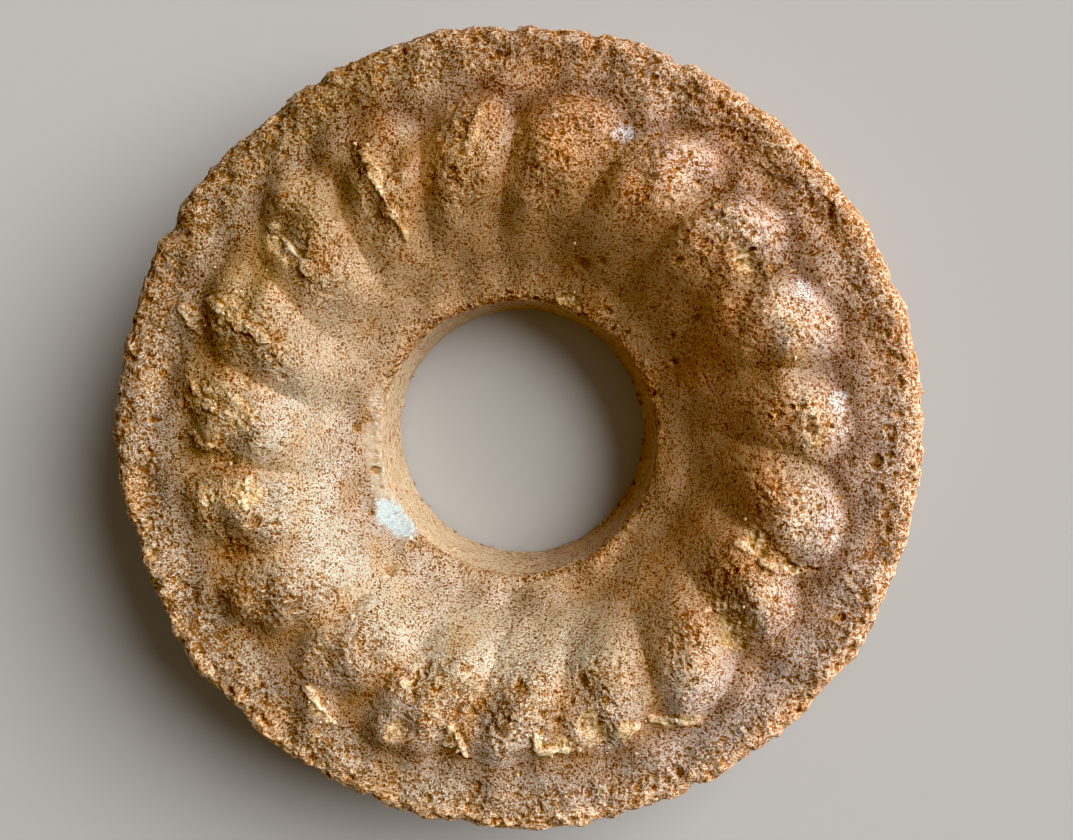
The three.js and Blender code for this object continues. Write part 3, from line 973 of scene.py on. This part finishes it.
FLAKE_GRAINS_PER_MM = 0.9
FLAKE_GRAIN_SHARE = (0.3, 1.0)
FLAKE_GRAIN_SIZES = (0.2, 0.6)
FLAKE_PILE = 0.5

LOOSE_GRAINS = 120
LOOSE_GRAIN_SIZES = (0.25, 0.7)
LOOSE_SPREAD_ACROSS = 9
LOOSE_SPREAD_ALONG = 11
LOOSE_RADII = (50, 127)

RIM_GRAINS = 200
RIM_GRAIN_SIZES = (0.3, 0.9)
RIM_GRAIN_INSET = 0.3
RIM_GRAIN_SPREAD = 3.5

HOLE_EDGE_GRAINS = 40
HOLE_EDGE_GRAIN_SIZES = (0.3, 0.8)
HOLE_EDGE_DIRECTION = math.radians(325)
HOLE_EDGE_SPREAD = 1.3
HOLE_EDGE_LOWEST = 1.0
HOLE_EDGE_HEIGHT = 8.0
HOLE_EDGE_OVERHANG = 0.2


def grain_shape():
    ball = bmesh.new()
    bmesh.ops.create_icosphere(ball, subdivisions=GRAIN_ROUNDNESS, radius=1.0)
    corners = np.array([corner.co for corner in ball.verts])
    faces = np.array([[corner.index for corner in face.verts] for face in ball.faces])
    ball.free()
    return corners, faces


def mostly_small(sizes, random, count):
    return blend(*sizes, random.random(count) ** 2)


def top_places(angle, radius):
    return baked_points(radius, angle, floor_height(radius))


# Each of these gives the places, sizes and colours of its grains

def flake_grains(random):
    places = []
    colours = []
    for rise, half_width, paleness, line in FLAKES:
        if rise < 0:
            continue
        for (start_angle, start_radius), (end_angle, end_radius) in zip(line, line[1:]):
            run = math.hypot(math.radians(end_angle - start_angle) * start_radius, end_radius - start_radius)
            count = round(run * FLAKE_GRAINS_PER_MM * blend(*FLAKE_GRAIN_SHARE, paleness))
            share = random.random(count)
            radius = blend(start_radius, end_radius, share) + half_width * random.standard_normal(count)
            sideways = half_width * random.standard_normal(count) / start_radius
            angle = np.radians(blend(start_angle, end_angle, share)) + sideways
            place = top_places(angle, radius)
            place[:, 2] += FLAKE_PILE * rise * random.random(count)
            places.append(place)
            colours.append(plain(blend(np.array(BROWN_GRAIN), np.array(PALE_CRUMB_AND_TIP_HIGHLIGHT), paleness), count))
    places = np.concatenate(places)
    return places, mostly_small(FLAKE_GRAIN_SIZES, random, len(places)), np.concatenate(colours)


def loose_grains(random):
    around = random.integers(0, len(CRUMB_PLACES), LOOSE_GRAINS)
    torn = np.array([place[:2] for place in CRUMB_PLACES])[around]
    radius = torn[:, 1] + LOOSE_SPREAD_ACROSS * random.standard_normal(LOOSE_GRAINS)
    angle = np.radians(torn[:, 0]) + LOOSE_SPREAD_ALONG * random.standard_normal(LOOSE_GRAINS) / radius
    places = top_places(angle, np.clip(radius, *LOOSE_RADII))
    sizes = mostly_small(LOOSE_GRAIN_SIZES, random, LOOSE_GRAINS)
    brown = random.random(LOOSE_GRAINS)
    return places, sizes, mixed(plain(CRUMB, LOOSE_GRAINS), CRUST, brown)


def rim_grains(random):
    angle = TAU * random.random(RIM_GRAINS)
    radius = OUTER_RADIUS - RIM_GRAIN_INSET - RIM_GRAIN_SPREAD * random.random(RIM_GRAINS) ** 2
    drop = TOP_EDGE_ROUNDING * smoothstep(radius, OUTER_RADIUS - TOP_EDGE_ROUNDING, OUTER_RADIUS)
    places = baked_points(radius, angle, LEDGE_HEIGHT - drop)
    # Rim grains take the pale colour of the painted highlight on tips
    return places, mostly_small(RIM_GRAIN_SIZES, random, RIM_GRAINS), plain(CRUST_TIP_HIGHLIGHT, RIM_GRAINS)


def hole_edge_grains(random):
    """Grains low down inside the hole."""
    angle = HOLE_EDGE_DIRECTION + HOLE_EDGE_SPREAD * random.standard_normal(HOLE_EDGE_GRAINS)
    height = HOLE_EDGE_LOWEST + HOLE_EDGE_HEIGHT * random.random(HOLE_EDGE_GRAINS)
    radius = np.full(HOLE_EDGE_GRAINS, HOLE_BASE_RADIUS - HOLE_EDGE_OVERHANG)
    sizes = mostly_small(HOLE_EDGE_GRAIN_SIZES, random, HOLE_EDGE_GRAINS)
    return baked_points(radius, angle, height), sizes, plain(CRUST, HOLE_EDGE_GRAINS)


def make_crumbs(middle):
    random = np.random.default_rng(GRAIN_SEED)
    groups = [make(random) for make in (flake_grains, loose_grains, rim_grains, hole_edge_grains)]
    places, sizes, colours = (np.concatenate(parts) for parts in zip(*groups))
    places = places - np.array([*middle, 0])
    corners, faces = grain_shape()
    stretch = blend(*GRAIN_STRETCH, random.random((len(places), 1, 3)))
    lumpy = blend(*GRAIN_LUMPS, random.random((len(places), len(corners), 1)))
    points = places[:, None] + corners * stretch * lumpy * sizes[:, None, None]
    number = (np.arange(len(places)) * len(corners))[:, None, None] + faces
    mesh = bpy.data.meshes.new("crumbs")
    mesh.from_pydata((points.reshape(-1, 3) * MM).tolist(), [], number.reshape(-1, 3).tolist())
    mesh.polygons.foreach_set("use_smooth", np.ones(len(mesh.polygons), bool))
    shade = blend(*GRAIN_SHADES, random.random((len(places), 1)))
    add_colour(mesh, np.repeat(colours * shade, len(corners), axis=0))
    add_attribute(mesh, "laced", np.full(len(mesh.vertices), GRAIN_LACED))
    add_attribute(mesh, "porous", np.full(len(mesh.vertices), GRAIN_POROUS))
    return new_object("crumbs", mesh)


# Materials

def new_material(name):
    material = bpy.data.materials.new(name)
    material.use_nodes = True
    tree = material.node_tree
    return material, tree, tree.nodes["Principled BSDF"]


def add_node(tree, kind, inputs=None, **settings):
    node = tree.nodes.new(kind)
    for key, value in settings.items():
        setattr(node, key, value)
    for key, value in (inputs or {}).items():
        if isinstance(value, bpy.types.NodeSocket):
            tree.links.new(value, node.inputs[key])
        else:
            node.inputs[key].default_value = value
    return node


# Numbers of the sockets for a mix of colours
MIX_FACTOR, MIX_FIRST, MIX_SECOND, MIX_RESULT = 0, 6, 7, 2


def mix_colour(tree, factor, first, second, kind="MIX"):
    first, second = ((*side, 1.0) if isinstance(side, tuple) else side for side in (first, second))
    inputs = {MIX_FACTOR: factor, MIX_FIRST: first, MIX_SECOND: second}
    return add_node(tree, "ShaderNodeMix", inputs, data_type="RGBA", blend_type=kind).outputs[MIX_RESULT]


def ramp(tree, value, low, high):
    inputs = {"Value": value, "From Min": low, "From Max": high}
    return add_node(tree, "ShaderNodeMapRange", inputs, interpolation_type="SMOOTHSTEP").outputs["Result"]


def math_node(tree, operation, first, second):
    return add_node(tree, "ShaderNodeMath", {0: first, 1: second}, operation=operation).outputs[0]


def times(tree, first, second):
    return math_node(tree, "MULTIPLY", first, second)


def between(tree, share, low, high):
    node = add_node(tree, "ShaderNodeMapRange", {"Value": share, "To Min": low, "To Max": high})
    return node.outputs["Result"]


# Pores of the crust: how many to the metre, share of them in closed and in open crust, strength
PORE_SIZES = [(2100.0, 0.76, 0.93, 0.9), (1250.0, 0.54, 0.95, 1.0), (600.0, 0.27, 0.55, 1.0)]
COARSEST_PORES = PORE_SIZES[-1][0]
WIDEST_PORE = 0.74
PORE_EDGE = (-0.16, 0.02)
PORE_DEPTHS = (0.4, 1.0)
CLUSTER_SCALE = 200.0
CLUSTER_SHARE = 0.6

# Colour factors of the painted shade in the pores and of the painted highlight on the grain's tips, and the
# palest that a tip gets
SHALLOW_PORE_SHADE = (0.74, 0.45, 0.21)
OPEN_PORE_SHADE = (0.81, 0.49, 0.19)
DEEP_PORE_SHADE = (0.30, 0.125, 0.026)
TIP_HIGHLIGHT_GAIN = (1.8, 2.6, 4.3)
PALEST_TIP_HIGHLIGHT = (0.88, 0.84, 0.78)

# Finest grain, and the noise that pushes pores out of round
GRAIN_SCALE = 2300.0
GRAIN_TIP_LEVELS = (0.03, 0.17)
NOISE_DETAIL = 2.0
NOISE_ROUGHNESS = 0.65
WANDER_SCALE = 800.0
WANDER_REACH = 0.0007

# Surface, pairs for closed and for open crust
TIP_SHARE = (0.6, 1.0)
PORE_SHARE = (1.0, 0.9)
BUMP_SHARE = (0.4, 0.8)
ROUGHNESS = (0.42, 0.62)
BUMP_DISTANCE = 0.00027
SHINE = 0.6


def noise_about_zero(tree, place, scale):
    settings = {"Vector": place, "Scale": scale, "Detail": NOISE_DETAIL, "Roughness": NOISE_ROUGHNESS}
    return math_node(tree, "SUBTRACT", add_node(tree, "ShaderNodeTexNoise", settings).outputs["Fac"], 0.5)


def vector_node(tree, operation, inputs):
    return add_node(tree, "ShaderNodeVectorMath", inputs, operation=operation).outputs[0]


def wandering_place(tree, place):
    """Place pushed about by fine noise, so that nothing drawn on it stays quite round."""
    settings = {"Vector": place, "Scale": WANDER_SCALE, "Detail": NOISE_DETAIL}
    noise = add_node(tree, "ShaderNodeTexNoise", settings).outputs["Color"]
    centred = vector_node(tree, "SUBTRACT", {0: noise, 1: (0.5, 0.5, 0.5)})
    push = vector_node(tree, "SCALE", {0: centred, "Scale": WANDER_REACH})
    return vector_node(tree, "ADD", {0: place, 1: push})


def falling(tree, value, low, high):
    return math_node(tree, "SUBTRACT", 1.0, ramp(tree, value, low, high))


def pores(tree, place, scale, share):
    """Round pores, 1 at their middles, more and wider with the share, and a draw for their depth."""
    cells = add_node(tree, "ShaderNodeTexVoronoi", {"Vector": place, "Scale": scale}).outputs
    draws = add_node(tree, "ShaderNodeSeparateColor", {"Color": cells["Color"]}).outputs
    reach = math_node(tree, "MINIMUM", math_node(tree, "SUBTRACT", share, draws["Red"]), WIDEST_PORE)
    beyond = math_node(tree, "SUBTRACT", cells["Distance"], reach)
    return falling(tree, beyond, *PORE_EDGE), draws["Green"]


def attribute(tree, name, output="Fac"):
    return add_node(tree, "ShaderNodeAttribute", attribute_name=name).outputs[output]


def crust_material():
    """Tan crust with a painted highlight on its grain tips and painted shade in its pores, fewer where it is
    closed and more where it is open.
    """
    material, tree, shader = new_material("crust")
    place = add_node(tree, "ShaderNodeTexCoord").outputs["Object"]
    tint = attribute(tree, "crust_colour", "Color")
    laced = attribute(tree, "laced")
    porous = attribute(tree, "porous")
    wandered = wandering_place(tree, place)
    grain = noise_about_zero(tree, wandered, GRAIN_SCALE)
    clusters = times(tree, noise_about_zero(tree, place, CLUSTER_SCALE), CLUSTER_SHARE)
    # Tips of the finest grain get a painted highlight
    tip = times(tree, ramp(tree, grain, *GRAIN_TIP_LEVELS), between(tree, laced, *TIP_SHARE))
    tip_colour = mix_colour(tree, 1.0, tint, TIP_HIGHLIGHT_GAIN, "MULTIPLY")
    body = mix_colour(tree, tip, tint, mix_colour(tree, 1.0, tip_colour, PALEST_TIP_HIGHLIGHT, "DARKEN"))
    height = grain
    shine = times(tree, porous, SHINE)
    shallow = mix_colour(tree, laced, SHALLOW_PORE_SHADE, OPEN_PORE_SHADE)
    strong = times(tree, porous, between(tree, laced, *PORE_SHARE))
    for scale, closed_share, open_share, amount in PORE_SIZES:
        share = math_node(tree, "ADD", between(tree, laced, closed_share, open_share), clusters)
        pore, depth = pores(tree, wandered, scale, share)
        pore = times(tree, times(tree, pore, amount), strong)
        depth = times(tree, between(tree, depth, *PORE_DEPTHS), pore)
        # Pores get painted shade, darker where deeper
        shade = mix_colour(tree, depth, shallow, DEEP_PORE_SHADE)
        body = mix_colour(tree, pore, body, mix_colour(tree, 1.0, tint, shade, "MULTIPLY"))
        shine = times(tree, shine, math_node(tree, "SUBTRACT", 1.0, pore))
        hollow = times(tree, pore, COARSEST_PORES / scale)
        height = math_node(tree, "SUBTRACT", height, hollow)
    strength = times(tree, porous, between(tree, laced, *BUMP_SHARE))
    relief = {"Height": height, "Strength": strength, "Distance": BUMP_DISTANCE}
    bump = add_node(tree, "ShaderNodeBump", relief)
    tree.links.new(body, shader.inputs["Base Color"])
    tree.links.new(bump.outputs["Normal"], shader.inputs["Normal"])
    tree.links.new(between(tree, laced, *ROUGHNESS), shader.inputs["Roughness"])
    tree.links.new(shine, shader.inputs["Specular IOR Level"])
    return material


# Stage, light and camera: places in the photo are in its pixels

PHOTO_WIDTH = 1073
PHOTO_HEIGHT = 840
PHOTO_CAKE_CENTRE = (514.8, 437.3)
PHOTO_CAKE_RADIUS = 407.6
OUTLINE_HEIGHT = 50.0
PHOTO_NADIR = (593.0, 300.0)
LENS = 50.0
SENSOR = 36.0
BLACK_LEVEL = (0.007, 0.013, 0.019)
SHARP_PIXELS = 0.9
LIGHT_AZIMUTH = math.radians(29)
LIGHT_ELEVATION = math.radians(35)
LIGHT_STRENGTH = 6.4
LIGHT_SPREAD = math.radians(55)
FILL_COLOUR = (1.0, 0.88, 0.72, 1)
FILL_STRENGTH = 0.175
FLOOR_SIZE = 6
FLOOR_COLOUR = (0.38, 0.37, 0.36, 1)
FLOOR_ROUGHNESS = 0.9


def make_stage():
    bpy.ops.mesh.primitive_plane_add(size=FLOOR_SIZE)
    floor = bpy.context.object
    floor.name = "floor"
    material, _, shader = new_material("floor")
    shader.inputs["Base Color"].default_value = FLOOR_COLOUR
    shader.inputs["Roughness"].default_value = FLOOR_ROUGHNESS
    floor.data.materials.append(material)


def make_light():
    scene = bpy.context.scene
    scene.cycles.filter_width = SHARP_PIXELS
    scene.view_settings.view_transform = "Standard"
    scene.view_settings.use_curve_mapping = True
    scene.view_settings.curve_mapping.black_level = BLACK_LEVEL
    world = bpy.data.worlds.new("soft_fill")
    scene.world = world
    world.use_nodes = True
    background = world.node_tree.nodes["Background"]
    background.inputs["Color"].default_value = FILL_COLOUR
    background.inputs["Strength"].default_value = FILL_STRENGTH
    sun = bpy.data.lights.new("window_light", "SUN")
    sun.energy = LIGHT_STRENGTH
    sun.angle = LIGHT_SPREAD
    lamp = new_object("window_light", sun)
    to_light = Vector((
        math.cos(LIGHT_AZIMUTH) * math.cos(LIGHT_ELEVATION),
        math.sin(LIGHT_AZIMUTH) * math.cos(LIGHT_ELEVATION),
        math.sin(LIGHT_ELEVATION),
    ))
    lamp.rotation_euler = to_light.to_track_quat("Z", "Y").to_euler()


def make_camera():
    """Camera nearly straight above, placed by the cake's circle and by the point right below the lens."""
    data = bpy.data.cameras.new("camera")
    data.lens = LENS
    data.sensor_width = SENSOR
    camera = new_object("camera", data)
    per_pixel = OUTER_RADIUS * MM / PHOTO_CAKE_RADIUS
    level = OUTLINE_HEIGHT * MM
    focal_pixels = LENS / SENSOR * PHOTO_WIDTH

    def at_outline(column, row):
        return Vector((
            (column - PHOTO_CAKE_CENTRE[0]) * per_pixel, (PHOTO_CAKE_CENTRE[1] - row) * per_pixel, level))

    camera.location = at_outline(*PHOTO_NADIR) + Vector((0, 0, focal_pixels * per_pixel))
    look = (at_outline(PHOTO_WIDTH / 2, PHOTO_HEIGHT / 2) - camera.location).normalized()
    right = look.cross(Vector((0, 1, 0))).normalized()
    camera.rotation_euler = Matrix((right, right.cross(look), -look)).transposed().to_euler()
    bpy.context.scene.camera = camera


make_camera()
make_light()
make_stage()
cake, middle = make_cake()
crumbs = make_crumbs(middle)
crust = crust_material()
for piece in (cake, crumbs):
    piece.data.materials.append(crust)
    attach(piece, "root")
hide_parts("cake")
